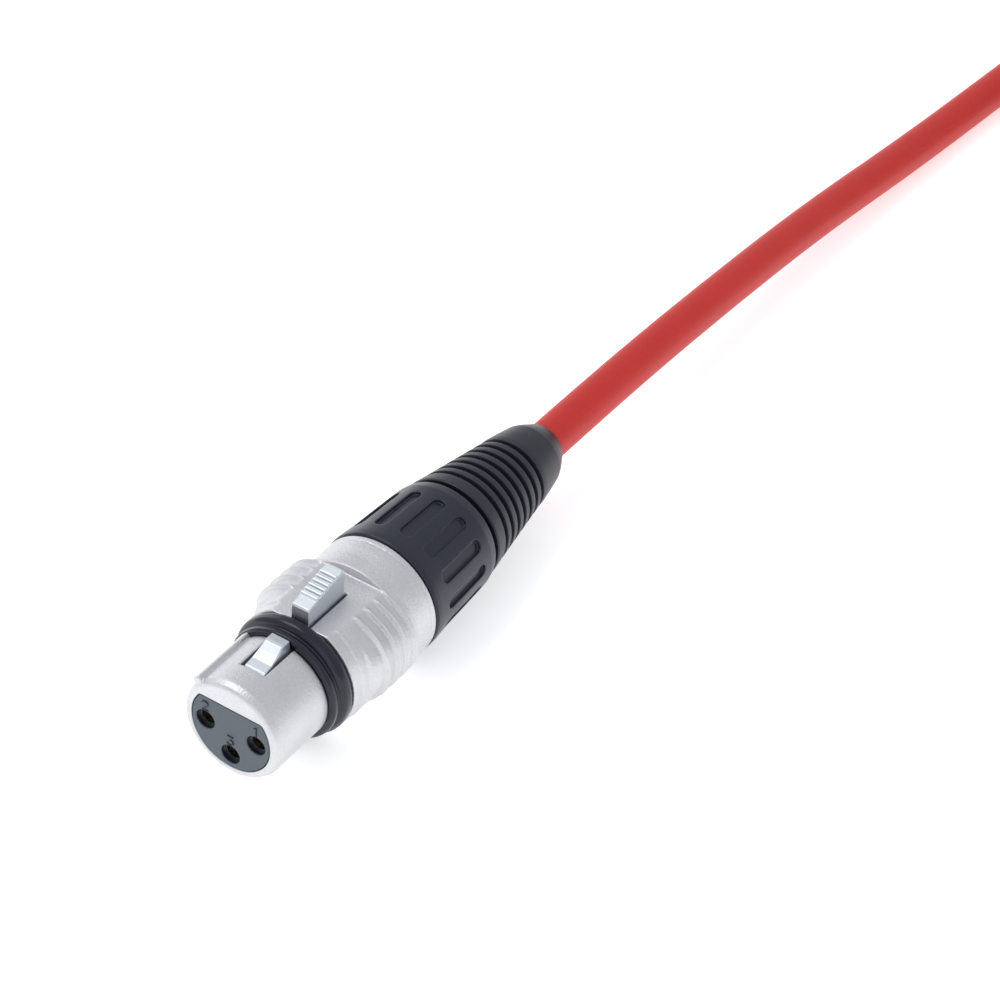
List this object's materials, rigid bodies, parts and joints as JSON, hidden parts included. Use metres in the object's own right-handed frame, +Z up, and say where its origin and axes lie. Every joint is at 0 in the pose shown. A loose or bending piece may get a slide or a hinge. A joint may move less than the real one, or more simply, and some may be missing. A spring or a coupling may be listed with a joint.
{
  "type": "microphone lead",
  "caption": "Red microphone lead with a latching female cable connector, a male one on its far end, and its spare cable folded into a tied hank.",
  "frame": {"origin": "under the middle of the female connector, on the surface that it lies on", "axes": "+X along the female connector from its nose to its cable, +Z up through its latch button, +Y to the left seen from behind the nose looking along the connector"},
  "size_m": [0.4435, 0.0588, 0.0371],
  "materials": {
    "nickel_shell": "satin nickel plating over a zinc die casting",
    "nickel_latch": "brighter satin nickel",
    "spring_steel": "spring temper strip",
    "silver_contact": "silver plated brass",
    "grey_plastic": "dark grey glass-filled plastic",
    "black_plastic": "blue-black semi-matt moulding",
    "clamp_plastic": "natural acetal",
    "black_rubber": "black elastomer",
    "red_jacket": "matt-satin red PVC",
    "white_core": "white insulation",
    "blue_core": "blue insulation",
    "shield_braid": "twisted tinned copper strands",
    "hook_and_loop": "black woven hook-and-loop tape"
  },
  "bodies": {
    "root": {"female_shell": "nickel_shell", "male_shell": "nickel_shell", "nose_ring": "black_rubber", "socket_insert": "grey_plastic", "pin_insert": "grey_plastic", "female_cable_chuck": "clamp_plastic", "male_cable_chuck": "clamp_plastic", "female_cable_end": "red_jacket", "male_cable_end": "red_jacket", "cable_run": "red_jacket", "cable_tail": "red_jacket", "cable_hank": "red_jacket", "hank_tie": "hook_and_loop", "socket_contact_1": "silver_contact", "pin_contact_1": "silver_contact", "socket_contact_2": "silver_contact", "pin_contact_2": "silver_contact", "socket_contact_3": "silver_contact", "pin_contact_3": "silver_contact", "female_hot_core": "white_core", "female_cold_core": "blue_core", "female_shield_pigtail": "shield_braid", "male_hot_core": "white_core", "male_cold_core": "blue_core", "male_shield_pigtail": "shield_braid", "latch_spring": "spring_steel"},
    "latch": {"latch_lever": "nickel_latch"},
    "female_boot_body": {"female_boot": "black_rubber"},
    "female_nut_body": {"female_clamp_nut": "black_plastic"},
    "male_boot_body": {"male_boot": "black_rubber"},
    "male_nut_body": {"male_clamp_nut": "black_plastic"}
  },
  "joints": [
    {"name": "latch_press", "type": "hinge", "parent": "root", "child": "latch", "pos_m": [-0.01345, 0, 0.01735], "axis": [0, -1, 0], "range_deg": [0, 4.2], "stiffness_Nm_per_rad": 0.25, "springref_deg": -5.73, "deforming": ["latch_spring"]},
    {"name": "female_boot_slide", "type": "slide", "parent": "root", "child": "female_boot_body", "axis": [1, 0, 0], "range_m": [0, 0.0045]},
    {"name": "female_nut_turn", "type": "hinge", "parent": "female_boot_body", "child": "female_nut_body", "pos_m": [0.00175, 0, 0.00995], "axis": [1, 0, 0], "range_deg": [0, 1080]},
    {"name": "male_boot_slide", "type": "slide", "parent": "root", "child": "male_boot_body", "axis": [1, 0, 0], "range_m": [0, 0.0045]},
    {"name": "male_nut_turn", "type": "hinge", "parent": "male_boot_body", "child": "male_nut_body", "pos_m": [0.2075, -0.0364, 0.00995], "axis": [1, 0, 0], "range_deg": [0, 1080]}
  ],
  "couplings": [
    {"joint": "female_nut_turn", "follows": "female_boot_slide", "rad_per_m": 4188.8},
    {"joint": "male_nut_turn", "follows": "male_boot_slide", "rad_per_m": 4188.8}
  ]
}
